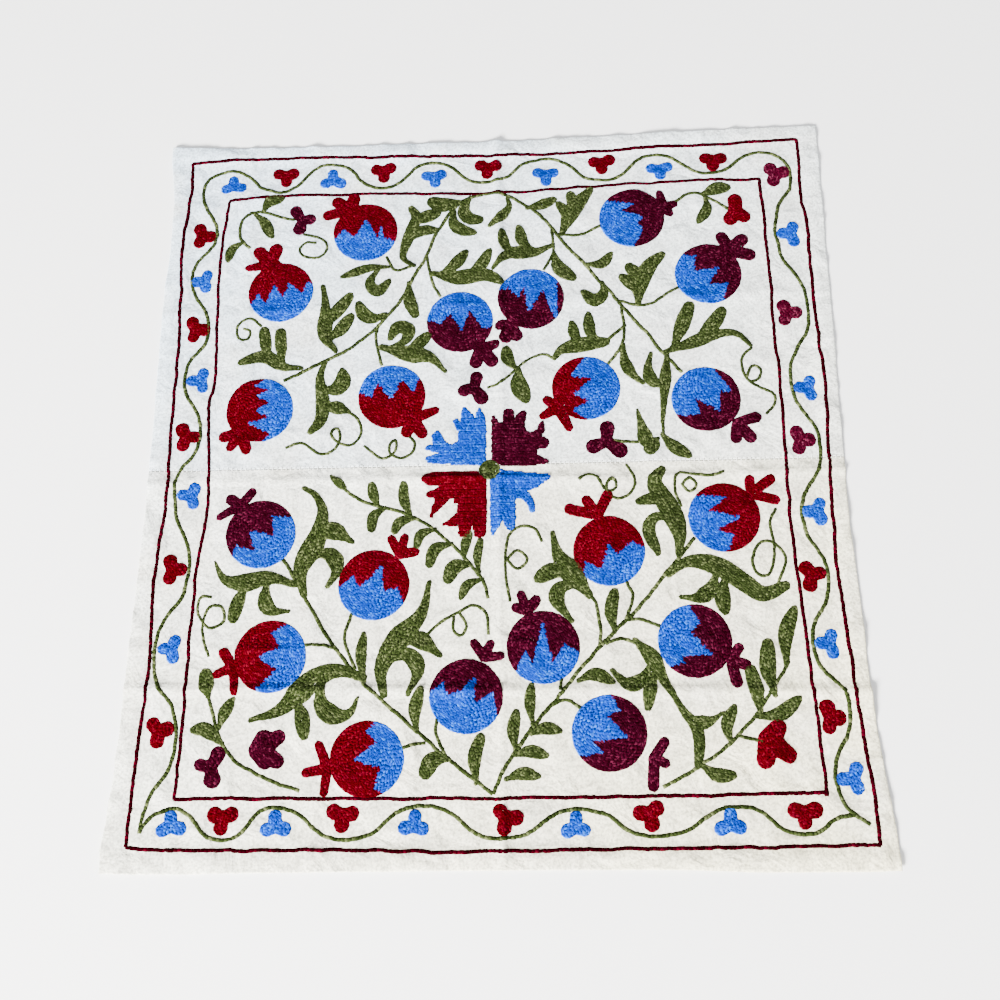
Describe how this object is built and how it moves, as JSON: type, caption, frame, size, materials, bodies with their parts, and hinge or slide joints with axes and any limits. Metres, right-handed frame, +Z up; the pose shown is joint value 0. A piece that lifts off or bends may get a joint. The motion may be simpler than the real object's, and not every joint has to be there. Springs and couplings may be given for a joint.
{
  "type": "suzani embroidered textile",
  "caption": "Suzani hanging or cover, pomegranates on curling stems in chain stitch on white cotton, lying flat with its storage folds",
  "frame": {"origin": "the middle of the cloth's underside, on the table it lies on", "axes": "+X runs along the centre seam to the right edge, +Y up the cloth to its top edge, +Z up out of the embroidered face"},
  "size_m": [0.9044, 0.9707, 0.0058],
  "materials": {
    "upper_cotton": null,
    "lower_cotton": null,
    "red_thread": null,
    "maroon_thread": null,
    "blue_thread": null,
    "green_thread": null,
    "dark_thread": null
  },
  "bodies": {
    "root": {"upper_panel": "upper_cotton", "lower_panel": "lower_cotton"}
  },
  "joints": []
}
